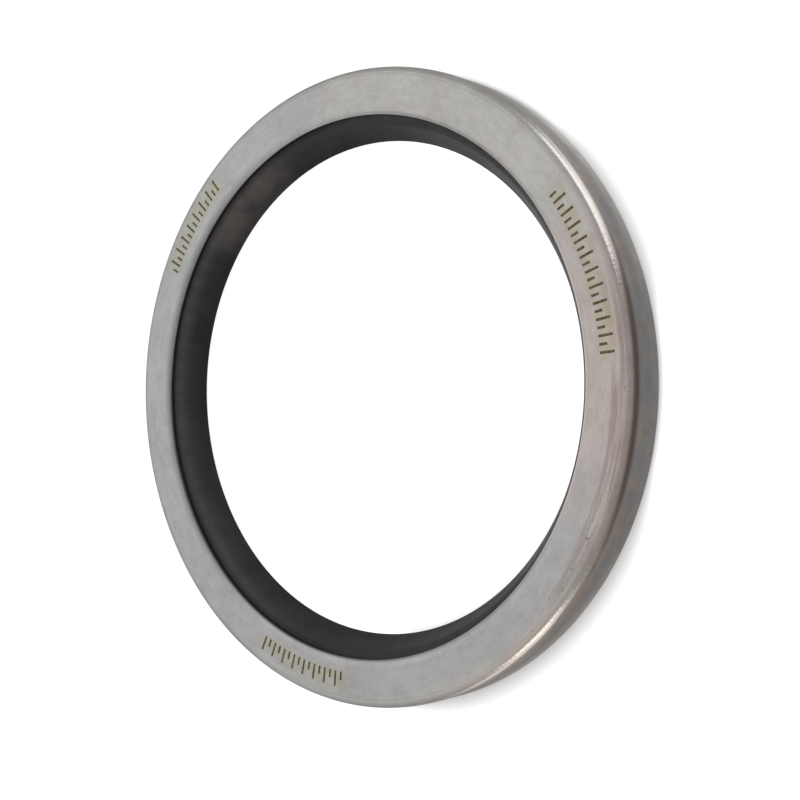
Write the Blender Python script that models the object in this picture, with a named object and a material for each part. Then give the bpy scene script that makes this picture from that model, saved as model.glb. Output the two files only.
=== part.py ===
# Rotary shaft seal: a formed plastic lip held between two steel cases.
#
# The seal lies on its back face. The shaft's axis is +Z, the origin is the centre of the
# back face, and the front face, with the small opening, looks up. All sizes are in metres.
import math

import bmesh
import bpy

# Sizes of the seal as a whole
SHAFT_DIAMETER = 0.090
SECTION_HEIGHT = 0.010  # from the shaft's surface out to the housing bore
SEAL_WIDTH = 0.008

# Clearance that is left wherever one piece seats on another
SEAT_GAP = 0.00025

# Outer case: a steel cup, its front flange pierced for the shaft, its rear rim rolled in
FRONT_BORE_CLEARANCE = 0.00175  # from the shaft's surface to the edge of the front flange
FLANGE_THICKNESS = 0.00095  # ground a little thinner than the wall
WALL_THICKNESS = 0.0012
BORE_ROLL_DEPTH = 0.0003  # how far piercing has drawn the bore's edge down
BORE_ROLL_ANGLE = math.radians(22)  # between the face and the steepest part of that edge
BORE_EDGE_RADIUS = 0.0001
OUTER_BEND_RADIUS = 0.0016  # outside the cup, where the flange turns into the wall
FACE_EDGE_ANGLE = math.radians(15)  # between the ground face and the start of that bend
BEND_RUN_OUT = 0.00006  # straight start of the bend, beside the face
CASE_BEND_RADIUS = 0.0003  # inside the cup, where the wall meets the flange and the rim
REAR_CORNER_RADIUS = 0.0002
RIM_THICKNESS = 0.001
RIM_REACH = 0.0011  # how far the rolled rim comes in from the wall
RIM_EDGE_RADIUS = 0.00025

# Sealing lip: a flat plastic washer whose inner part is bent back into a cone
LIP_THICKNESS = 0.0009
LIP_INTERFERENCE = 0.0038  # how much smaller than the shaft the free lip is, on diameter
LIP_TIP_HEIGHT = 0.00195  # the sealing edge's height above the back face
LIP_ANGLE = math.radians(60)  # between the clamped washer and the cone
LIP_BEND_RADIUS = 0.0016  # on the hollow side of the bend

# Gasket: a flat rubber washer between the lip and the inner case
GASKET_THICKNESS = 0.0005
GASKET_SETBACK = 0.0003  # how far its inner edge stands back from the inner case's

# Inner case: a steel ring of L section that clamps the lip and is held by the rolled rim
INNER_FLANGE_THICKNESS = 0.0008
INNER_LEG_THICKNESS = 0.0008
INNER_BEND_RADIUS = 0.0003  # on the hollow side of the L
INNER_EDGE_RADIUS = 0.00035

# Facets
RING_STEPS = 96  # around the axis
ARC_TOLERANCE = 0.000012  # the most that a facet of a rounded corner cuts inside its arc
FILLET_SHARE = 0.45  # the most of a wall that one of its two edge fillets may take
ROLL_SHARE = 0.95  # how much of the bore's sloping edge its rounded part takes

# Radii and heights that follow from the sizes above
shaft_radius = SHAFT_DIAMETER / 2
outer_radius = shaft_radius + SECTION_HEIGHT
front_bore_radius = shaft_radius + FRONT_BORE_CLEARANCE
cup_radius = outer_radius - WALL_THICKNESS
clamped_radius = cup_radius - SEAT_GAP  # outer radius of everything inside the cup
lip_front = SEAL_WIDTH - FLANGE_THICKNESS - SEAT_GAP
gasket_front = lip_front - LIP_THICKNESS - SEAT_GAP
inner_front = gasket_front - GASKET_THICKNESS - SEAT_GAP
rim_inner_radius = cup_radius - RIM_REACH
tip_radius = shaft_radius - LIP_INTERFERENCE / 2
lip_front_bend = LIP_BEND_RADIUS + LIP_THICKNESS
lip_corner_radius = tip_radius + (lip_front - LIP_TIP_HEIGHT) / math.tan(LIP_ANGLE)
lip_bend_start = lip_corner_radius + lip_front_bend * math.tan(LIP_ANGLE / 2)
inner_flange_radius = lip_bend_start + SEAT_GAP


def edge_fillet(wanted, wall):
    """The fillet for one edge of a wall, small enough to leave room for the other edge's."""
    return min(wanted, FILLET_SHARE * wall)


def rounded_outline(corners):
    """Turns (radius, height, fillet) corners into outline points, with each fillet as an arc."""
    points = []
    for index, (radius, height, fillet) in enumerate(corners):
        if fillet == 0:
            points.append((radius, height))
            continue
        before = corners[index - 1]
        after = corners[(index + 1) % len(corners)]
        to_before = math.atan2(before[1] - height, before[0] - radius)
        to_after = math.atan2(after[1] - height, after[0] - radius)
        opening = (to_after - to_before + math.pi) % math.tau - math.pi
        middle = to_before + opening / 2
        reach = fillet / math.sin(abs(opening) / 2)
        centre_radius = radius + reach * math.cos(middle)
        centre_height = height + reach * math.sin(middle)
        turn = math.copysign(math.pi - abs(opening), opening)
        widest_step = 2 * math.acos(1 - ARC_TOLERANCE / fillet)
        steps = max(2, math.ceil(abs(turn) / widest_step))
        for step in range(steps + 1):
            angle = middle + math.pi + turn * (0.5 - step / steps)
            points.append(
                (
                    centre_radius + fillet * math.cos(angle),
                    centre_height + fillet * math.sin(angle),
                )
            )
    return points


def bore_edge_corners():
    """The pierced edge: a short slope down to the bore, rounded where it leaves the face."""
    slope_width = BORE_ROLL_DEPTH / math.tan(BORE_ROLL_ANGLE)
    slope_length = BORE_ROLL_DEPTH / math.sin(BORE_ROLL_ANGLE)
    edge_reach = BORE_EDGE_RADIUS * math.tan((math.pi / 2 - BORE_ROLL_ANGLE) / 2)
    roll_reach = ROLL_SHARE * (slope_length - edge_reach)
    roll_radius = roll_reach / math.tan(BORE_ROLL_ANGLE / 2)
    return [
        (front_bore_radius, SEAL_WIDTH - BORE_ROLL_DEPTH, BORE_EDGE_RADIUS),
        (front_bore_radius + slope_width, SEAL_WIDTH, roll_radius),
    ]


def outer_bend_corners():
    """The bend from the face into the wall, which starts at a slope because the face is ground."""
    reach = OUTER_BEND_RADIUS * math.tan((math.pi / 2 - FACE_EDGE_ANGLE) / 2) + BEND_RUN_OUT
    bend_top = SEAL_WIDTH - reach * math.sin(FACE_EDGE_ANGLE)
    return [
        (outer_radius - reach * math.cos(FACE_EDGE_ANGLE), SEAL_WIDTH, 0),
        (outer_radius, bend_top, OUTER_BEND_RADIUS),
    ]


def outer_case_corners():
    """The cup's section, from the front bore round the outside and back up the inside."""
    rim_edge = edge_fillet(RIM_EDGE_RADIUS, RIM_THICKNESS)
    flange_back = SEAL_WIDTH - FLANGE_THICKNESS
    return [
        *bore_edge_corners(),
        *outer_bend_corners(),
        (outer_radius, 0, REAR_CORNER_RADIUS),
        (rim_inner_radius, 0, rim_edge),
        (rim_inner_radius, RIM_THICKNESS, rim_edge),
        (cup_radius, RIM_THICKNESS, CASE_BEND_RADIUS),
        (cup_radius, flange_back, CASE_BEND_RADIUS),
        (front_bore_radius, flange_back, 0),
    ]


def gasket_corners():
    inner_radius = inner_flange_radius + GASKET_SETBACK
    back = gasket_front - GASKET_THICKNESS
    return [
        (inner_radius, gasket_front, 0),
        (clamped_radius, gasket_front, 0),
        (clamped_radius, back, 0),
        (inner_radius, back, 0),
    ]


def sealing_lip_corners():
    """The washer's section: both faces run from the clamped edge, round the bend, to the tip."""
    back = lip_front - LIP_THICKNESS
    tip_back_radius = tip_radius + LIP_THICKNESS * math.sin(LIP_ANGLE)
    tip_back_height = LIP_TIP_HEIGHT - LIP_THICKNESS * math.cos(LIP_ANGLE)
    back_corner_radius = tip_back_radius + (back - tip_back_height) / math.tan(LIP_ANGLE)
    return [
        (tip_radius, LIP_TIP_HEIGHT, 0),
        (lip_corner_radius, lip_front, lip_front_bend),
        (clamped_radius, lip_front, 0),
        (clamped_radius, back, 0),
        (back_corner_radius, back, LIP_BEND_RADIUS),
        (tip_back_radius, tip_back_height, 0),
    ]


def inner_case_corners():
    """The L: its flange backs the gasket and the lip, its leg stands on the rolled rim."""
    leg_radius = clamped_radius - INNER_LEG_THICKNESS
    leg_end = RIM_THICKNESS + SEAT_GAP
    back = inner_front - INNER_FLANGE_THICKNESS
    flange_edge = edge_fillet(INNER_EDGE_RADIUS, INNER_FLANGE_THICKNESS)
    return [
        (inner_flange_radius, inner_front, flange_edge),
        (clamped_radius, inner_front, INNER_BEND_RADIUS + INNER_FLANGE_THICKNESS),
        (clamped_radius, leg_end, 0),
        (leg_radius, leg_end, 0),
        (leg_radius, back, INNER_BEND_RADIUS),
        (inner_flange_radius, back, flange_edge),
    ]


def new_material(name, colour, metallic, roughness):
    material = bpy.data.materials.new(name)
    material.use_nodes = True
    shader = material.node_tree.nodes["Principled BSDF"]
    shader.inputs["Base Color"].default_value = (*colour, 1.0)
    shader.inputs["Metallic"].default_value = metallic
    shader.inputs["Roughness"].default_value = roughness
    material.diffuse_color = (*colour, 1.0)
    return material


def turned_ring(name, corners, material):
    """Spins a closed section about the shaft's axis and adds the ring to the scene."""
    shape = bmesh.new()
    section = [shape.verts.new((radius, 0, height)) for radius, height in rounded_outline(corners)]
    edges = [shape.edges.new(ends) for ends in zip(section, section[1:] + section[:1])]
    bmesh.ops.spin(
        shape,
        geom=section + edges,
        axis=(0, 0, 1),
        cent=(0, 0, 0),
        angle=math.tau,
        steps=RING_STEPS,
        use_merge=True,
    )
    bmesh.ops.recalc_face_normals(shape, faces=shape.faces)
    mesh = bpy.data.meshes.new(name)
    shape.to_mesh(mesh)
    shape.free()
    mesh.materials.append(material)
    mesh.shade_smooth()
    mesh.set_sharp_from_angle(angle=math.radians(35))
    ring = bpy.data.objects.new(name, mesh)
    bpy.context.scene.collection.objects.link(ring)
    return ring


def build():
    for old in list(bpy.data.objects):
        bpy.data.objects.remove(old)
    satin_steel = new_material("satin_steel", (0.46, 0.45, 0.44), 1.0, 0.38)
    inner_steel = new_material("inner_steel", (0.40, 0.39, 0.38), 1.0, 0.45)
    black_rubber = new_material("black_rubber", (0.012, 0.012, 0.013), 0.0, 0.7)
    black_plastic = new_material("black_plastic", (0.022, 0.021, 0.023), 0.0, 0.5)
    turned_ring("outer_case", outer_case_corners(), satin_steel)
    turned_ring("sealing_lip", sealing_lip_corners(), black_plastic)
    turned_ring("gasket", gasket_corners(), black_rubber)
    turned_ring("inner_case", inner_case_corners(), inner_steel)


build()
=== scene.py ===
import math

import bmesh
import bpy
from mathutils import Matrix, Vector


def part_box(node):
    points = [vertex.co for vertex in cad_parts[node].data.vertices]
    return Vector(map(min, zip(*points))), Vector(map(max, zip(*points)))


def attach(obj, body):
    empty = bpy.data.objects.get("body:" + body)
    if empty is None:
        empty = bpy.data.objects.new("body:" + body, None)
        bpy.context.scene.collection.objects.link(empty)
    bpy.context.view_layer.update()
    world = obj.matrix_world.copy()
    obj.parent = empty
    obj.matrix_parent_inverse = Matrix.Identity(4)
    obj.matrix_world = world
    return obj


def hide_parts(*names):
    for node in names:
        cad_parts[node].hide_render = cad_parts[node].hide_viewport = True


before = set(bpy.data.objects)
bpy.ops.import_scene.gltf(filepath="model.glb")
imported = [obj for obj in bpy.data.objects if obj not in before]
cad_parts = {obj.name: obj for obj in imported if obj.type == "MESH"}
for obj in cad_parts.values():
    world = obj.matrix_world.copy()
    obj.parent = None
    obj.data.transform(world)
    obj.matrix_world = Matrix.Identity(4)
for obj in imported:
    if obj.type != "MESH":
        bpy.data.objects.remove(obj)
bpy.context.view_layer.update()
print("frame loaded:", sorted(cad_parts))

# Everything is in metres. Angles on the ring are given as the photograph shows them: clockwise
# from the right, in degrees, which is -Y in the frame, with the picture's top at +X.
ring = {
    "steps": 384,  # facets round the axis
    "sharpAngle": math.radians(40),
}


def nodeRadius(name, pick):
    return pick(math.hypot(v.co.x, v.co.y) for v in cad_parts[name].data.vertices)


outerRadius = nodeRadius("outer_case", max) - 1e-6  # keeps the spun ring inside the solid's box
boreRadius = nodeRadius("outer_case", min)
tipRadius = nodeRadius("sealing_lip", min)
clampedRadius = nodeRadius("sealing_lip", max)
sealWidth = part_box("outer_case")[1].z
gasketBack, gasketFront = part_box("gasket")[0].z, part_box("gasket")[1].z
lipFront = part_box("sealing_lip")[1].z
innerBack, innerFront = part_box("inner_case")[0].z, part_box("inner_case")[1].z


def ringDirection(photoAngle):
    angle = math.radians(photoAngle)
    return Vector((-math.sin(angle), -math.cos(angle), 0))


def circleEdges(shape, radius, height):
    def onCircle(vert):
        return abs(vert.co.xy.length - radius) < 1e-6 and abs(vert.co.z - height) < 1e-6

    return [edge for edge in shape.edges if onCircle(edge.verts[0]) and onCircle(edge.verts[1])]


# corners is the closed section as (radius, height); rounds gives (corner, width, segments) to bevel
def spunRing(name, corners, rounds, material):
    shape = bmesh.new()
    section = [shape.verts.new((radius, 0, height)) for radius, height in corners]
    sides = [shape.edges.new(ends) for ends in zip(section, section[1:] + section[:1])]
    bmesh.ops.spin(
        shape, geom=section + sides, cent=(0, 0, 0), axis=(0, 0, 1),
        angle=math.tau, steps=ring["steps"], use_merge=True,
    )
    bmesh.ops.recalc_face_normals(shape, faces=shape.faces)
    for corner, width, segments in rounds:
        bmesh.ops.bevel(
            shape, geom=circleEdges(shape, *corners[corner]), offset=width,
            offset_type="OFFSET", affect="EDGES", segments=segments, profile=0.5, material=-1,
        )
    mesh = bpy.data.meshes.new(name)
    shape.to_mesh(mesh)
    shape.free()
    mesh.materials.append(material)
    mesh.shade_smooth()
    mesh.set_sharp_from_angle(angle=ring["sharpAngle"])
    piece = bpy.data.objects.new(name, mesh)
    bpy.context.scene.collection.objects.link(piece)
    weighted = piece.modifiers.new("evenShading", "WEIGHTED_NORMAL")
    weighted.keep_sharp = True
    return piece


# Node helpers: each returns the output socket of the node it adds
def newMaterial(name):
    material = bpy.data.materials.new(name)
    material.use_nodes = True
    tree = material.node_tree
    return material, tree, tree.nodes["Principled BSDF"]


def plug(tree, socket, value):
    if isinstance(value, bpy.types.NodeSocket):
        tree.links.new(value, socket)
    else:
        socket.default_value = value


def mathOf(tree, operation, first, second=0.0, third=0.0):
    node = tree.nodes.new("ShaderNodeMath")
    node.operation = operation
    for socket, value in zip(node.inputs, (first, second, third)):
        plug(tree, socket, value)
    return node.outputs[0]


def mapped(tree, value, low, high, toLow=0.0, toHigh=1.0, smooth=True):
    node = tree.nodes.new("ShaderNodeMapRange")
    node.interpolation_type = "SMOOTHSTEP" if smooth else "LINEAR"
    names = ("Value", "From Min", "From Max", "To Min", "To Max")
    for name, given in zip(names, (value, low, high, toLow, toHigh)):
        plug(tree, node.inputs[name], given)
    return node.outputs[0]


# 1 between low and high, falling to 0 over soft outside them
def window(tree, value, low, high, soft):
    rise = mapped(tree, value, low - soft, low)
    fall = mapped(tree, value, high, high + soft, 1.0, 0.0)
    return mathOf(tree, "MULTIPLY", rise, fall)


def product(tree, *values):
    total = values[0]
    for value in values[1:]:
        total = mathOf(tree, "MULTIPLY", total, value)
    return total


def mixed(tree, amount, first, second, blend="MIX"):
    node = tree.nodes.new("ShaderNodeMix")
    node.data_type = "RGBA"
    node.blend_type = blend
    node.clamp_factor = True
    plug(tree, node.inputs[0], amount)
    for socket, colour in ((node.inputs[6], first), (node.inputs[7], second)):
        plug(tree, socket, colour if isinstance(colour, bpy.types.NodeSocket) else (*colour, 1.0))
    return node.outputs[2]


def greyOf(tree, value):
    node = tree.nodes.new("ShaderNodeCombineColor")
    for socket in node.inputs[:3]:
        tree.links.new(value, socket)
    return node.outputs[0]


# Darkens or lightens a colour by a grey level
def shaded(tree, colour, level):
    return mixed(tree, 1.0, colour, greyOf(tree, level), "MULTIPLY")


def noiseOf(tree, vector, scale, detail=4.0, roughness=0.55):
    node = tree.nodes.new("ShaderNodeTexNoise")
    plug(tree, node.inputs["Vector"], vector)
    plug(tree, node.inputs["Scale"], scale)
    plug(tree, node.inputs["Detail"], detail)
    plug(tree, node.inputs["Roughness"], roughness)
    return node.outputs["Fac"]


# Noise stretched to run from low to high
def levelOf(tree, noise, low, high):
    return mapped(tree, noise, 0.3, 0.7, low, high, smooth=False)


def bumped(tree, height, strength, distance, normal=None):
    node = tree.nodes.new("ShaderNodeBump")
    plug(tree, node.inputs["Strength"], strength)
    plug(tree, node.inputs["Distance"], distance)
    plug(tree, node.inputs["Height"], height)
    if normal is not None:
        plug(tree, node.inputs["Normal"], normal)
    return node.outputs[0]


# Object coordinates, the distance from the axis, the height, and the direction round the ring
def ringPlaces(tree):
    place = tree.nodes.new("ShaderNodeTexCoord").outputs["Object"]
    flat = tree.nodes.new("ShaderNodeVectorMath")
    flat.operation = "MULTIPLY"
    flat.inputs[1].default_value = (1, 1, 0)
    tree.links.new(place, flat.inputs[0])
    length = tree.nodes.new("ShaderNodeVectorMath")
    length.operation = "LENGTH"
    tree.links.new(flat.outputs[0], length.inputs[0])
    unit = tree.nodes.new("ShaderNodeVectorMath")
    unit.operation = "NORMALIZE"
    tree.links.new(flat.outputs[0], unit.inputs[0])
    parts = tree.nodes.new("ShaderNodeSeparateXYZ")
    tree.links.new(place, parts.inputs[0])
    return place, length.outputs["Value"], parts.outputs["Z"], unit.outputs[0]


# 1 up to full degrees to either side of photoAngle, falling to 0 at spread degrees. The
# dictionaries below give these three numbers to say where on the ring something is
def facing(tree, unit, photoAngle, full, spread):
    dot = tree.nodes.new("ShaderNodeVectorMath")
    dot.operation = "DOT_PRODUCT"
    dot.inputs[1].default_value = ringDirection(photoAngle)
    tree.links.new(unit, dot.inputs[0])
    outer, inner = (math.cos(math.radians(angle)) for angle in (spread, full))
    return mapped(tree, dot.outputs["Value"], outer, inner)


# Noise drawn out into streaks round the ring: slow along them, fast across them
def streaksOf(tree, places, along, across, detail=3.0, roughness=0.55):
    _, radius, height, unit = places
    scaled = tree.nodes.new("ShaderNodeVectorMath")
    scaled.operation = "SCALE"
    scaled.inputs["Scale"].default_value = along
    tree.links.new(unit, scaled.inputs[0])
    parts = tree.nodes.new("ShaderNodeSeparateXYZ")
    tree.links.new(scaled.outputs[0], parts.inputs[0])
    climb = mathOf(tree, "MULTIPLY", mathOf(tree, "SUBTRACT", radius, height), across)
    joined = tree.nodes.new("ShaderNodeCombineXYZ")
    tree.links.new(parts.outputs["X"], joined.inputs["X"])
    tree.links.new(parts.outputs["Y"], joined.inputs["Y"])
    tree.links.new(climb, joined.inputs["Z"])
    return noiseOf(tree, joined.outputs[0], 1.0, detail, roughness)


# Lays a mark, given as its colour, strength and where it lies, over a colour inside the masks
def marked(tree, unit, colour, mark, *masks):
    shade, strength, where = mark
    return mixed(tree, product(tree, facing(tree, unit, *where), strength, *masks), colour, shade)


caseSize = {
    "flange": 0.00095,
    "wall": 0.0012,
    "bend": 0.0016,  # radius where the flange turns into the wall
    "faceEdge": math.radians(15),  # slope at which that bend leaves the ground face
    "runOut": 0.00006,
    "rollDepth": 0.0003,  # the pierced edge is drawn down towards the bore
    "rollAngle": math.radians(22),
    "rollShare": 0.9,  # how much of that slope is rounded off into the face
    "boreEdge": 0.00004,
    "faceCorner": 0.00003,
    "rearCorner": 0.0002,
    "rim": 0.001,
    "rimReach": 0.0011,
    "rimEdge": 0.00025,
    "innerBend": 0.0003,  # inside the cup
    "flangeEdge": 0.00006,
}
etchedProud = 0.000006  # how far the etched strokes stand above the face
faceHeight = sealWidth - etchedProud
bendReach = caseSize["bend"] * math.tan((math.pi / 2 - caseSize["faceEdge"]) / 2)
bendSlope = bendReach + caseSize["runOut"]
faceRadius = outerRadius - bendSlope * math.cos(caseSize["faceEdge"])
bendCorner = faceHeight - bendSlope * math.sin(caseSize["faceEdge"])

steelLook = {
    "colour": (0.551, 0.554, 0.546),
    "warm": (0.622, 0.557, 0.527),  # painted light: a warmer, lighter tint on the right side
    "warmAt": (349, 8, 44),
    "pale": (0.60, 0.59, 0.565),  # painted light: paler on the upper right
    "paleAt": (298, 12, 50),
    "warmEdge": (1.13, 1.05, 0.995),  # painted warm light: the lower right margin and bend are yellower and lighter
    "warmEdgeAt": (38, 20, 44),
    "cool": (0.985, 1.0, 0.995),  # two faint tints that drift over the case
    "rosy": (1.0, 0.975, 0.985),
    "tarnish": (0.30, 0.26, 0.25),  # faint blotches over the ground steel
    "tarnishDepth": 0.17,
    "clouds": (0.94, 1.04),  # darkest and lightest part of each pattern
    "brushing": (0.93, 1.05),
    "speckle": (0.88, 1.10),
    "grain": 0.00022,
    "faceRoughness": 0.38,
    "bendRoughness": 0.21,
    "wallRoughness": 0.40,
    "dullBelow": (0.0008, 0.0015),  # the bend turns as dull as the wall between these depths
    "bandRougher": 0.1,  # how much rougher the ring beside the bend is
    "boreRougher": 0.3,  # and the bore's edge and its torn wall
    "grainRelief": (0.4, 0.00003),  # strength and depth
    "turningRelief": (0.12, 0.00003),
    "chatterRelief": (0.45, 0.00006),  # tool marks across the bend
}
wallLook = {
    "grey": (0.462, 0.452, 0.448),
    # the mottle's brown, laid on more at the bottom as painted warm light
    "brown": (0.56, 0.49, 0.43),
    "brownAt": (56, 12, 46),
    "brownDepth": 0.5,
    "blue": (0.415, 0.435, 0.455),
    "blueDepth": 0.7,
    # paler towards the foot: a painted reflection of the floor
    "foot": (0.88, 0.86, 0.84),
    "footDepth": 0.4,
    "footFrom": 0.0038,  # the height below which the wall grows paler, a painted reflection of the floor
    "paleFeet": ((308, 16, 44, 0.8), (60, 14, 34, 0.7)),  # where that painted reflection is stronger, and how much
}
# Marks on the case, some wear and some painted light and shade: colour, strength and where each
# mark lies
steelMarks = {
    "paintedBendHighlight": ((0.80, 0.775, 0.74), 0.6, (76, 20, 46)),  # a painted highlight on the start of the bend
    "streaks": ((0.34, 0.27, 0.245), 0.75, (12, 16, 34)),  # painted reflection: brown streaks on the face's outer part
    "streakBand": (0.0518, 0.0535, 0.0007),  # radii, and how softly they end
    "specks": ((0.16, 0.13, 0.12), 0.6, (22, 16, 32)),
    "speckBand": (0.0522, 0.0538, 0.0004),
    "darkLine": ((0.16, 0.118, 0.102), 0.90, (4, 5, 35)),  # a dark brown line just below the bend, on the right
    "drawn": ((0.08, 0.078, 0.076), 0.62, (182, 12, 80)),  # painted shade on the drawn-down bore edge, on the left
    "drawnReach": 0.0016,
    "sidePatch": ((0.08, 0.078, 0.076), 0.85, (125, 35, 70)),
    # painted reflection of the floor on the bore's edge at the right
    "bright": ((0.90, 0.84, 0.80), 0.9, (0, 18, 44)),
    "shearedAndShaded": (0.045, 0.044, 0.043),  # the torn wall of the pierced bore: darker torn steel, with painted shade in the recess
    "band": (0.1, 0.09, 0.085),  # painted shade: a darker ring beside the bend, which is also rougher
    "bandAt": (5, 20, 100),
    "bandDepth": (0.03, 0.07),
    "bandWidth": 0.00030,
    "softEdge": (350, 60, 110),  # where the bore's edge is duller
}
etchRows = {
    # middle angle in the photo, cells, middle radius, stroke length
    "rows": ((103.5, 8, 0.0507, 0.0027), (217.8, 8, 0.0514, 0.0027), (340.0, 11, 0.0509, 0.0025)),
    "pitch": 0.00255,
    "strokeWidth": 0.00043,
    "shortShare": 0.55,
    "halo": (0.50, 0.455, 0.30),  # yellow bloom on the steel round the rows
    "haloDepth": 0.55,
    "haloReach": 0.0008,
}


# The outer wall: mottled brown, blue and grey; browner and lighter at the bottom, which is painted
# warm light; paler towards its foot, which is a painted reflection of the floor
def wallColour(tree, place, height, unit):
    look = wallLook
    mottle = mapped(tree, noiseOf(tree, place, 230.0, 4.0, 0.6), 0.42, 0.64)
    # brown mottle, with more at the bottom as painted warm light
    atBottom = facing(tree, unit, *look["brownAt"])
    brown = mathOf(tree, "MULTIPLY_ADD", atBottom, look["brownDepth"], mottle)
    colour = mixed(tree, mathOf(tree, "MINIMUM", brown, 1.0), look["grey"], look["brown"])
    blue = mapped(tree, noiseOf(tree, place, 310.0, 3.0, 0.6), 0.5, 0.66)
    colour = mixed(tree, mathOf(tree, "MULTIPLY", blue, look["blueDepth"]), colour, look["blue"])
    # painted reflection of the floor: paler towards the foot
    foot = look["footDepth"]
    for *where, more in look["paleFeet"]:
        foot = mathOf(tree, "MULTIPLY_ADD", facing(tree, unit, *where), more, foot)
    foot = mathOf(tree, "MULTIPLY", foot, mapped(tree, height, look["footFrom"], 0.0))
    return mixed(tree, foot, colour, look["foot"])


# The case's colour: painted light on the right and upper right, tints, clouds, tarnish, brushing
# and grain, and the wall's
def steelColour(tree, places, onWall, grain):
    place, _, height, unit = places
    look = steelLook
    # painted light: the right side warmer and lighter, the upper right paler
    colour = mixed(tree, facing(tree, unit, *look["warmAt"]), look["colour"], look["warm"])
    colour = mixed(tree, facing(tree, unit, *look["paleAt"]), colour, look["pale"])
    colour = mixed(tree, onWall, colour, wallColour(tree, place, height, unit))
    colour = shaded(tree, colour, levelOf(tree, noiseOf(tree, place, 90.0, 3.0), *look["clouds"]))
    drift = mapped(tree, noiseOf(tree, place, 150.0, 2.0), 0.36, 0.64)
    colour = mixed(tree, 1.0, colour, mixed(tree, drift, look["cool"], look["rosy"]), "MULTIPLY")
    blotches = mapped(tree, noiseOf(tree, place, 420.0, 3.0, 0.6), 0.42, 0.72)
    tarnish = mixed(tree, look["tarnishDepth"], colour, look["tarnish"])
    colour = mixed(tree, blotches, colour, tarnish)
    brushed = streaksOf(tree, places, 14.0, 1500.0, 4.0, 0.6)
    colour = shaded(tree, colour, levelOf(tree, brushed, *look["brushing"]))
    speckle = mapped(tree, grain, 0.25, 0.75, *look["speckle"], smooth=False)
    return shaded(tree, colour, speckle)


# Marks on the outer part of the face, on the bend and just below it, painted highlight, shade, warm
# light and reflection among them
def outerMarks(tree, colour, places, onFace, outside, edgeBand):
    place, radius, height, unit = places
    marks = steelMarks
    # painted highlight on the start of the bend
    colour = marked(
        tree, unit, colour, marks["paintedBendHighlight"],
        mapped(tree, radius, faceRadius - 0.0002, faceRadius + 0.0001),
        mapped(tree, height, faceHeight - 0.0005, faceHeight - 0.0003),
    )
    # painted shade: a darker ring beside the bend, more on the right
    bandAt = facing(tree, unit, *marks["bandAt"])
    bandDepth = mapped(tree, bandAt, 0.0, 1.0, *marks["bandDepth"], smooth=False)
    colour = mixed(tree, product(tree, edgeBand, bandDepth), colour, marks["band"])
    # painted warm light on the lower right margin and bend
    warmPart = product(
        tree, mapped(tree, radius, 0.0520, 0.0536), facing(tree, unit, *steelLook["warmEdgeAt"]),
        mapped(tree, height, sealWidth - 0.0032, sealWidth - 0.0008),
    )
    warmTint = mixed(tree, warmPart, (1, 1, 1), steelLook["warmEdge"])
    colour = mixed(tree, 1.0, colour, warmTint, "MULTIPLY")
    # painted reflection: brown streaks on the face's outer part
    streaks = streaksOf(tree, places, 4.0, 1200.0)
    colour = marked(
        tree, unit, colour, marks["streaks"], onFace, window(tree, radius, *marks["streakBand"]),
        mapped(tree, streaks, 0.30, 0.62),
    )
    colour = marked(
        tree, unit, colour, marks["specks"], onFace, window(tree, radius, *marks["speckBand"]),
        mapped(tree, noiseOf(tree, place, 900.0, 2.0), 0.66, 0.72),
    )
    return marked(
        tree, unit, colour, marks["darkLine"], outside,
        mapped(tree, height, sealWidth - 0.0027, sealWidth - 0.0014),
        mapped(tree, height, sealWidth - 0.0005, sealWidth - 0.0010),
    )


# The bore's edge: painted shade where it is drawn down on the left, a darker patch at the lower
# left, the torn wall dark with painted shade, and a painted reflection of the floor on the right
def boreMarks(tree, colour, places, shearedAndShaded):
    _, radius, height, unit = places
    marks = steelMarks
    # painted shade on the drawn-down edge, on the left
    colour = marked(
        tree, unit, colour, marks["drawn"],
        mapped(tree, radius, boreRadius + marks["drawnReach"], boreRadius, smooth=False),
        mapped(tree, height, sealWidth - 0.0004, sealWidth - 0.0003),
    )
    # a darker patch on the bore's edge at the lower left
    atEdge = mapped(tree, radius, boreRadius + 0.0005, boreRadius)
    colour = marked(tree, unit, colour, marks["sidePatch"], atEdge)
    # the torn wall: darker steel and painted shade
    colour = mixed(tree, shearedAndShaded, colour, marks["shearedAndShaded"])
    # painted reflection of the floor on the right
    nearEdge = mapped(tree, radius, boreRadius + 0.0007, boreRadius + 0.0001)
    return marked(tree, unit, colour, marks["bright"], nearEdge)


# Yellow bloom on the face round the etched rows
def etchHalo(tree, colour, places, onFace):
    place, radius, _, unit = places
    patchy = mapped(tree, noiseOf(tree, place, 600.0, 3.0), 0.3, 0.65)
    for middle, cells, rowRadius, length in etchRows["rows"]:
        half = math.degrees(cells * etchRows["pitch"] / rowRadius / 2)
        inner, outer = rowRadius - length / 2, rowRadius + length / 2
        bloom = product(
            tree, onFace, facing(tree, unit, middle, half - 1.0, half + 2.0), patchy,
            window(tree, radius, inner, outer, etchRows["haloReach"]), etchRows["haloDepth"],
        )
        colour = mixed(tree, bloom, colour, etchRows["halo"])
    return colour


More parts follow.
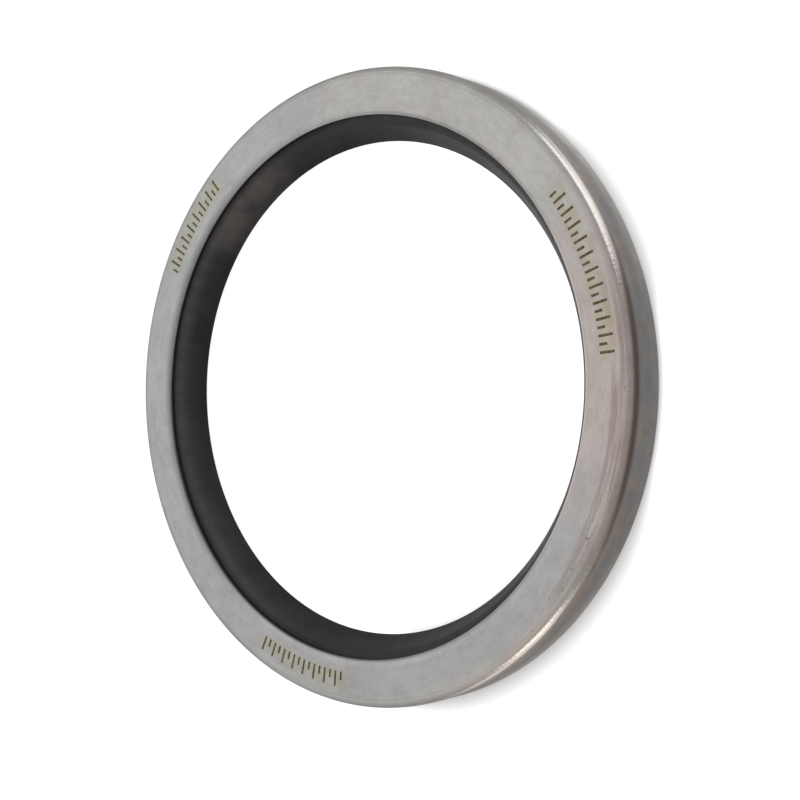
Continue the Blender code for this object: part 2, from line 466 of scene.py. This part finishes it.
def satinSteel():
    material, tree, shader = newMaterial("satinSteel")
    places = ringPlaces(tree)
    place, radius, height, unit = places
    look = steelLook
    # masks: the ground face, everything outside it, the bend and the wall
    level = mapped(tree, height, faceHeight - 0.00002, faceHeight - 0.00001)
    onFace = product(tree, level, mapped(tree, radius, faceRadius + 0.00003, faceRadius))
    outside = mapped(tree, radius, faceRadius, faceRadius + 0.00003)
    dullFrom, dullTo = (faceHeight - depth for depth in look["dullBelow"])
    onWall = product(tree, outside, mapped(tree, height, dullFrom, dullTo))
    onBend = product(tree, outside, mapped(tree, height, dullTo, dullFrom))
    bandStart = faceRadius - steelMarks["bandWidth"]
    edgeBand = product(tree, onFace, mapped(tree, radius, bandStart - 0.0001, bandStart + 0.00005))
    # the bore's torn wall, darkened partly as painted shade
    shearedAndShaded = product(
        tree, mapped(tree, radius, boreRadius + 0.0001, boreRadius + 0.00003),
        mapped(tree, height, sealWidth - 0.00034, sealWidth - 0.00044),
    )
    grain = noiseOf(tree, place, 1 / look["grain"], 3.0, 0.6)
    colour = steelColour(tree, places, onWall, grain)
    colour = outerMarks(tree, colour, places, onFace, outside, edgeBand)
    colour = boreMarks(tree, colour, places, shearedAndShaded)
    plug(tree, shader.inputs["Base Color"], etchHalo(tree, colour, places, onFace))
    shader.inputs["Metallic"].default_value = 1.0
    # roughness: the face's, with what each part adds to it
    soft = product(
        tree, mapped(tree, radius, boreRadius + 0.0007, boreRadius + 0.0003),
        facing(tree, unit, *steelMarks["softEdge"]),
    )
    roughness = mathOf(tree, "MULTIPLY_ADD", grain, 0.06, look["faceRoughness"])
    for mask, more in (
        (onWall, look["wallRoughness"] - look["faceRoughness"]),
        (onBend, look["bendRoughness"] - look["faceRoughness"]),
        (edgeBand, look["bandRougher"]),
        (soft, look["boreRougher"]),
        (shearedAndShaded, look["boreRougher"]),
    ):
        roughness = mathOf(tree, "MULTIPLY_ADD", mask, more, roughness)
    plug(tree, shader.inputs["Roughness"], roughness)
    # relief: grain, turning marks, and tool marks across the bend
    normal = bumped(tree, grain, *look["grainRelief"])
    normal = bumped(tree, streaksOf(tree, places, 2.5, 5200.0), *look["turningRelief"], normal)
    chatter = streaksOf(tree, places, 110.0, 300.0, 2.0)
    strength, depth = look["chatterRelief"]
    strength = mathOf(tree, "MULTIPLY", onBend, strength)
    plug(tree, shader.inputs["Normal"], bumped(tree, chatter, strength, depth, normal))
    return material


pressedLook = {
    "colour": (0.45, 0.445, 0.44),
    "clouds": (0.88, 1.05),
    "roughness": (0.36, 0.5),
    "relief": (0.2, 0.00004),
}


def pressedSteel():
    material, tree, shader = newMaterial("pressedSteel")
    places = ringPlaces(tree)
    look = pressedLook
    clouds = levelOf(tree, noiseOf(tree, places[0], 140.0, 4.0), *look["clouds"])
    turned = streaksOf(tree, places, 3.0, 3500.0)
    plug(tree, shader.inputs["Base Color"], shaded(tree, look["colour"], clouds))
    shader.inputs["Metallic"].default_value = 1.0
    plug(tree, shader.inputs["Roughness"], levelOf(tree, turned, *look["roughness"]))
    plug(tree, shader.inputs["Normal"], bumped(tree, turned, *look["relief"]))
    return material


lipLook = {
    "colour": (0.032, 0.0303, 0.0372),
    "mottle": (0.0425, 0.042, 0.0425),
    # painted sheen on the lip's bend
    "bend": (0.058, 0.058, 0.061),
    "farBend": (0.080, 0.080, 0.083),  # painted sheen, stronger on the left
    "farBendAt": (180, 40, 75),
    "bendHeights": (0.0042, 0.0067),  # painted sheen: the lip grows paler between these heights
    # painted shade: darker towards the tip
    "tip": (0.020, 0.020, 0.023),
    "tipDepth": 0.6,
    "tipHeights": (0.0022, 0.0045),
    "sidePatch": ((0.135, 0.119, 0.110), 0.8, (231, 7, 17)),  # brownish patch at the upper left
    "paintedShade": (0.010, 0.010, 0.012),  # painted shade: darker at the bottom and beside the flange
    "paintedShadeDepth": 0.3,
    "paintedShadeAt": (72, 22, 50),
    "slotHeights": (0.0061, 0.00665),  # painted shade in the slot beside the flange: heights, and where it is dark
    "slotDepths": (0.42, 0.05),
    "slotAt": (180, 76, 92),
    "slotPaleAt": (186, 16, 42),
    "rightTip": ((0.12, 0.117, 0.115), 1.0, (0, 18, 50)),  # the crescent that shows on the right, painted lighter
    "smears": (0.86, 1.12),
    "dust": (0.09, 0.085, 0.08),
    "dustDepth": 0.25,
    "refraction": 1.32,  # low, as filled fluoropolymer is
    "roughness": (0.46, 0.56),
    "relief": (0.18, 0.00004),
}


def lipPlastic():
    material, tree, shader = newMaterial("lipPlastic")
    places = ringPlaces(tree)
    place, _, height, unit = places
    look = lipLook
    turned = streaksOf(tree, places, 4.0, 4200.0)
    mottle = noiseOf(tree, place, 190.0, 4.0)
    colour = mixed(tree, mapped(tree, mottle, 0.38, 0.62), look["colour"], look["mottle"])
    # painted sheen: the bend paler, more so on the left
    paler = mixed(tree, facing(tree, unit, *look["farBendAt"]), look["bend"], look["farBend"])
    colour = mixed(tree, mapped(tree, height, *look["bendHeights"]), colour, paler)
    colour = marked(tree, unit, colour, look["sidePatch"], mapped(tree, mottle, 0.2, 0.5))
    # painted shade in the slot beside the flange
    slotPale = facing(tree, unit, *look["slotPaleAt"])
    slot = product(
        tree, mapped(tree, height, *look["slotHeights"]), facing(tree, unit, *look["slotAt"]),
        mapped(tree, slotPale, 0.0, 1.0, *look["slotDepths"], smooth=False),
    )
    colour = mixed(tree, slot, colour, look["paintedShade"])
    # painted shade at the bottom
    paintedShade = mathOf(tree, "MULTIPLY", facing(tree, unit, *look["paintedShadeAt"]), look["paintedShadeDepth"])
    colour = mixed(tree, paintedShade, colour, look["paintedShade"])
    # painted shade towards the tip
    tipFrom, tipTo = look["tipHeights"]
    tip = mathOf(tree, "MULTIPLY", mapped(tree, height, tipTo, tipFrom), look["tipDepth"])
    colour = mixed(tree, tip, colour, look["tip"])
    # the crescent on the right, painted lighter
    colour = marked(tree, unit, colour, look["rightTip"])
    smears = levelOf(tree, streaksOf(tree, places, 26.0, 700.0), *look["smears"])
    colour = shaded(tree, colour, smears)
    dust = mapped(tree, noiseOf(tree, place, 2600.0, 1.0), 0.74, 0.8)
    colour = mixed(tree, mathOf(tree, "MULTIPLY", dust, look["dustDepth"]), colour, look["dust"])
    plug(tree, shader.inputs["Base Color"], colour)
    shader.inputs["IOR"].default_value = look["refraction"]
    plug(tree, shader.inputs["Roughness"], levelOf(tree, turned, *look["roughness"]))
    plug(tree, shader.inputs["Normal"], bumped(tree, turned, *look["relief"]))
    return material


gasketLook = {
    "dark": (0.008, 0.008, 0.008),
    "light": (0.014, 0.014, 0.014),
    "roughness": 0.8,
    "relief": (0.3, 0.00005),
}


def gasketRubber():
    material, tree, shader = newMaterial("gasketRubber")
    mottle = noiseOf(tree, ringPlaces(tree)[0], 700.0, 4.0)
    colour = mixed(tree, mottle, gasketLook["dark"], gasketLook["light"])
    plug(tree, shader.inputs["Base Color"], colour)
    shader.inputs["Roughness"].default_value = gasketLook["roughness"]
    plug(tree, shader.inputs["Normal"], bumped(tree, mottle, *gasketLook["relief"]))
    return material


oxideLook = {
    "dark": (0.10, 0.075, 0.034),
    "light": (0.205, 0.158, 0.078),
    "metallic": 0.45,
    "roughness": 0.5,
    "relief": (0.3, 0.00003),
}


def etchedOxide():
    material, tree, shader = newMaterial("etchedOxide")
    patchy = noiseOf(tree, ringPlaces(tree)[0], 1800.0, 3.0)
    colour = mixed(tree, mapped(tree, patchy, 0.35, 0.65), oxideLook["dark"], oxideLook["light"])
    plug(tree, shader.inputs["Base Color"], colour)
    shader.inputs["Metallic"].default_value = oxideLook["metallic"]
    shader.inputs["Roughness"].default_value = oxideLook["roughness"]
    plug(tree, shader.inputs["Normal"], bumped(tree, patchy, *oxideLook["relief"]))
    return material


def makeOuterCase(material):
    case = caseSize
    cupRadius = outerRadius - case["wall"]
    rimRadius = cupRadius - case["rimReach"]
    flangeBack = sealWidth - case["flange"]
    rollWidth = case["rollDepth"] / math.tan(case["rollAngle"])
    rollReach = case["rollShare"] * case["rollDepth"] / math.sin(case["rollAngle"])
    corners = (
        (boreRadius, faceHeight - case["rollDepth"]),
        (boreRadius + rollWidth, faceHeight),
        (faceRadius, faceHeight),
        (outerRadius, bendCorner),
        (outerRadius, 0),
        (rimRadius, 0),
        (rimRadius, case["rim"]),
        (cupRadius, case["rim"]),
        (cupRadius, flangeBack),
        (boreRadius, flangeBack),
    )
    rounds = (
        (0, case["boreEdge"], 3),
        (1, rollReach, 8),
        (2, case["faceCorner"], 2),
        (3, bendReach, 16),
        (4, case["rearCorner"], 5),
        (5, case["rimEdge"], 5),
        (6, case["rimEdge"], 5),
        (7, case["innerBend"], 4),
        (8, case["innerBend"], 4),
        (9, case["flangeEdge"], 2),
    )
    piece = spunRing("outerCase", corners, rounds, material)
    return dressed(piece, "satin_steel", "outer_case")


gasketSize = {
    "filled": 0.0002,  # it fills this much of the gap that the solids keep on either side
    "edge": 0.00012,
}


def makeGasket(material):
    inner = nodeRadius("gasket", min)
    back, front = gasketBack - gasketSize["filled"], gasketFront + gasketSize["filled"]
    corners = ((inner, front), (clampedRadius, front), (clampedRadius, back), (inner, back))
    rounds = ((0, gasketSize["edge"], 3), (3, gasketSize["edge"], 3))
    piece = spunRing("gasketWasher", corners, rounds, material)
    return dressed(piece, "black_rubber", "gasket")


lipSize = {
    "thickness": 0.0009,
    "angle": math.radians(61.16),  # between the clamped washer and the cone
    "tipHeight": 0.001715,
    "bend": 0.0016,  # on the hollow side
    "tipEdge": 0.00005,
    "tipBackEdge": 0.00008,
}


def makeSealingLip(material):
    lip = lipSize
    back = lipFront - lip["thickness"]
    slope = math.tan(lip["angle"])
    cornerRadius = tipRadius + (lipFront - lip["tipHeight"]) / slope
    tipBack = (
        tipRadius + lip["thickness"] * math.sin(lip["angle"]),
        lip["tipHeight"] - lip["thickness"] * math.cos(lip["angle"]),
    )
    corners = (
        (tipRadius, lip["tipHeight"]),
        (cornerRadius, lipFront),
        (clampedRadius, lipFront),
        (clampedRadius, back),
        (tipBack[0] + (back - tipBack[1]) / slope, back),
        tipBack,
    )
    halfTurn = math.tan(lip["angle"] / 2)
    rounds = (
        (1, (lip["bend"] + lip["thickness"]) * halfTurn, 12),
        (4, lip["bend"] * halfTurn, 12),
        (0, lip["tipEdge"], 2),
        (5, lip["tipBackEdge"], 2),
    )
    piece = spunRing("sealingLip", corners, rounds, material)
    return dressed(piece, "black_plastic", "sealing_lip")


innerSize = {"flange": 0.0008, "leg": 0.0008, "bend": 0.0003, "edge": 0.00035, "legEdge": 0.0001}


def makeInnerCase(material):
    inner = innerSize
    flangeRadius = nodeRadius("inner_case", min)
    legRadius = clampedRadius - inner["leg"]
    back = innerFront - inner["flange"]
    corners = (
        (flangeRadius, innerFront),
        (clampedRadius, innerFront),
        (clampedRadius, innerBack),
        (legRadius, innerBack),
        (legRadius, back),
        (flangeRadius, back),
    )
    rounds = (
        (0, inner["edge"], 5),
        (1, inner["bend"] + inner["flange"], 8),
        (2, inner["legEdge"], 2),
        (3, inner["legEdge"], 2),
        (4, inner["bend"], 4),
        (5, inner["edge"], 5),
    )
    piece = spunRing("innerCase", corners, rounds, material)
    return dressed(piece, "inner_steel", "inner_case")


# Three rows of plain etched strokes, long and short by turns
def makeEtchedRows(material):
    shape = bmesh.new()
    rows = etchRows
    for middle, cells, rowRadius, length in rows["rows"]:
        strokes = cells * 2
        for index in range(strokes):
            long = index % 2 == 0
            strokeLength = length * (1.0 if long else rows["shortShare"])
            along = (index - (strokes - 1) / 2) * rows["pitch"] / 2
            angle = middle - math.degrees(along / rowRadius)
            out = ringDirection(angle)
            turn = Matrix.Rotation(math.atan2(out.y, out.x), 4, "Z")
            # every stroke of a row starts at the same inner radius
            centre = out * (rowRadius - (length - strokeLength) / 2)
            lift = Matrix.Translation((centre.x, centre.y, sealWidth - etchedProud))
            flat = Matrix.Diagonal((strokeLength, rows["strokeWidth"], etchedProud * 2, 1))
            bmesh.ops.create_cube(shape, size=1, matrix=lift @ turn @ flat)
    mesh = bpy.data.meshes.new("etchedRows")
    shape.to_mesh(mesh)
    shape.free()
    mesh.materials.append(material)
    piece = bpy.data.objects.new("etchedRows", mesh)
    bpy.context.scene.collection.objects.link(piece)
    return dressed(piece, "satin_steel")


def dressed(piece, slot, *nodes):
    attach(piece, "root")
    if nodes:
        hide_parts(*nodes)
    return piece


studio = {
    "floorSize": 6.0,
    "floorColour": (0.62, 0.62, 0.62),
    "floorRoughness": 0.9,
    "floorLift": 0.79,  # what the camera sees on top of the lit floor
    "liftInside": 0.93,  # the same inside the ring
    "liftInMetal": 0.05,  # what glossy and transmission rays see on top of it
    "liftInMetalInside": 0.24,
    # light on the floor that only glossy and transmission rays see: where it is, its level, and
    # the radii over which it comes in. The first is a glow at the foot of the outer wall
    "floorLights": (
        (297, 14, 32, 0.27, 0.0582, 0.0563),
        (322, 8, 20, 0.93, 0.059, 0.068),
        (30, 4, 14, 0.16, 0.059, 0.068),
        (62, 8, 17, 0.74, 0.059, 0.068),
    ),
    "contactSharpness": 1.45,
    "contact": 0.0009,  # how far the contact shadow reaches
    "contactMore": ((50, 14, 38, 0.0026), (331, 4, 21, 0.0017)),  # where farther, and how much
    "brightSide": (0.22, 0.62, 0.75),  # direction of the sky's brightest part
    # how bright the sky is, by the cosine of the angle to that direction
    "sky": ((-0.4, 0.36), (0.34, 0.44), (0.77, 0.58), (0.93, 0.82), (1.0, 0.86)),
    "panelDistance": 0.62,
    # direction, width, height, power and colour of each softbox
    "panels": (
        ("softboxTop", (0.815, -0.56, 0.24), 0.42, 0.37, 0.69, (1, 0.985, 0.975)),
        ("softboxBottom", (-0.966, -0.26, 0.155), 0.20, 0.29, 0.335, (1, 0.92, 0.85)),
    ),
}


def makeFloor():
    shape = bmesh.new()
    bmesh.ops.create_grid(shape, x_segments=1, y_segments=1, size=studio["floorSize"] / 2)
    mesh = bpy.data.meshes.new("floor")
    shape.to_mesh(mesh)
    shape.free()
    floor = bpy.data.objects.new("floor", mesh)
    bpy.context.scene.collection.objects.link(floor)
    material, tree, shader = newMaterial("paperFloor")
    shader.inputs["Base Color"].default_value = (*studio["floorColour"], 1)
    shader.inputs["Roughness"].default_value = studio["floorRoughness"]
    shader.inputs["Specular IOR Level"].default_value = 0.0
    _, radius, _, unit = ringPlaces(tree)
    reach = studio["contact"]
    for *where, more in studio["contactMore"]:
        reach = mathOf(tree, "MULTIPLY_ADD", facing(tree, unit, *where), more, reach)
    contact = tree.nodes.new("ShaderNodeAmbientOcclusion")
    plug(tree, contact.inputs["Distance"], reach)
    free = mathOf(tree, "POWER", contact.outputs["AO"], studio["contactSharpness"])
    path = tree.nodes.new("ShaderNodeLightPath").outputs
    inside, outside = studio["liftInMetalInside"], studio["liftInMetal"]
    inMetal = mapped(tree, radius, tipRadius, outerRadius, inside, outside)
    for *where, level, dark, lit in studio["floorLights"]:
        pool = product(tree, facing(tree, unit, *where), mapped(tree, radius, dark, lit))
        inMetal = mathOf(tree, "MULTIPLY_ADD", pool, level, inMetal)
    seesMetal = mathOf(tree, "MAXIMUM", path["Is Glossy Ray"], path["Is Transmission Ray"])
    inMetal = mathOf(tree, "MULTIPLY", seesMetal, inMetal)
    lift = mapped(tree, radius, tipRadius, outerRadius, studio["liftInside"], studio["floorLift"])
    lift = mathOf(tree, "MULTIPLY_ADD", lift, path["Is Camera Ray"], inMetal)
    shader.inputs["Emission Color"].default_value = (1, 1, 1, 1)
    plug(tree, shader.inputs["Emission Strength"], mathOf(tree, "MULTIPLY", lift, free))
    mesh.materials.append(material)


# The camera sees plain white; everything else sees the soft sky
def makeWorld():
    world = bpy.data.worlds.new("studioWorld")
    bpy.context.scene.world = world
    world.use_nodes = True
    tree = world.node_tree
    soft = tree.nodes["Background"]
    direction = tree.nodes.new("ShaderNodeTexCoord").outputs["Generated"]
    toward = tree.nodes.new("ShaderNodeVectorMath")
    toward.operation = "DOT_PRODUCT"
    toward.inputs[1].default_value = Vector(studio["brightSide"]).normalized()
    tree.links.new(direction, toward.inputs[0])
    ramp = tree.nodes.new("ShaderNodeValToRGB")
    tree.links.new(mathOf(tree, "MULTIPLY_ADD", toward.outputs["Value"], 0.5, 0.5), ramp.inputs[0])
    stops = ramp.color_ramp.elements
    while len(stops) < len(studio["sky"]):
        stops.new(0.5)
    for stop, (cosine, level) in zip(stops, studio["sky"]):
        stop.position = cosine * 0.5 + 0.5
        stop.color = (level, level, level, 1)
    tree.links.new(ramp.outputs[0], soft.inputs["Color"])
    white = tree.nodes.new("ShaderNodeBackground")
    white.inputs["Color"].default_value = (1, 1, 1, 1)
    path = tree.nodes.new("ShaderNodeLightPath")
    chosen = tree.nodes.new("ShaderNodeMixShader")
    tree.links.new(path.outputs["Is Camera Ray"], chosen.inputs[0])
    tree.links.new(soft.outputs[0], chosen.inputs[1])
    tree.links.new(white.outputs[0], chosen.inputs[2])
    tree.links.new(chosen.outputs[0], tree.nodes["World Output"].inputs["Surface"])


# A softbox on either side of the camera, which the bend shows as two bright arcs
def makeSoftboxes():
    for name, direction, width, tall, power, tint in studio["panels"]:
        light = bpy.data.lights.new(name, "AREA")
        light.shape = "RECTANGLE"
        light.size = width
        light.size_y = tall
        light.energy = power
        light.color = tint
        box = bpy.data.objects.new(name, light)
        bpy.context.scene.collection.objects.link(box)
        toBox = Vector(direction).normalized()
        box.location = toBox * studio["panelDistance"]
        box.rotation_euler = toBox.to_track_quat("Z", "Y").to_euler()


cameraPlace = {
    "fromFace": (-0.005902, -0.154254, 0.17578),  # from the centre of the front face
    "forward": (0.01537, 0.63195, -0.77486),
    "right": (0.0, -0.77495, -0.63202),  # the picture's right; the camera is rolled on its side
    "lens": 60.98,
    "sensor": 36.0,
    "clip": (0.01, 20.0),
}


def makeCamera():
    data = bpy.data.cameras.new("photoCamera")
    data.sensor_width = cameraPlace["sensor"]
    data.lens = cameraPlace["lens"]
    data.clip_start, data.clip_end = cameraPlace["clip"]
    camera = bpy.data.objects.new("photoCamera", data)
    bpy.context.scene.collection.objects.link(camera)
    back = -Vector(cameraPlace["forward"]).normalized()
    right = Vector(cameraPlace["right"])
    right = (right - back * right.dot(back)).normalized()
    turn = Matrix((right, back.cross(right), back)).transposed()
    centre = Vector((0, 0, sealWidth)) + Vector(cameraPlace["fromFace"])
    camera.matrix_world = Matrix.Translation(centre) @ turn.to_4x4()
    bpy.context.scene.camera = camera


makeOuterCase(satinSteel())
makeGasket(gasketRubber())
makeSealingLip(lipPlastic())
makeInnerCase(pressedSteel())
makeEtchedRows(etchedOxide())

makeFloor()
makeWorld()
makeSoftboxes()
makeCamera()
bpy.context.scene.view_settings.view_transform = "Standard"
print("studio set")
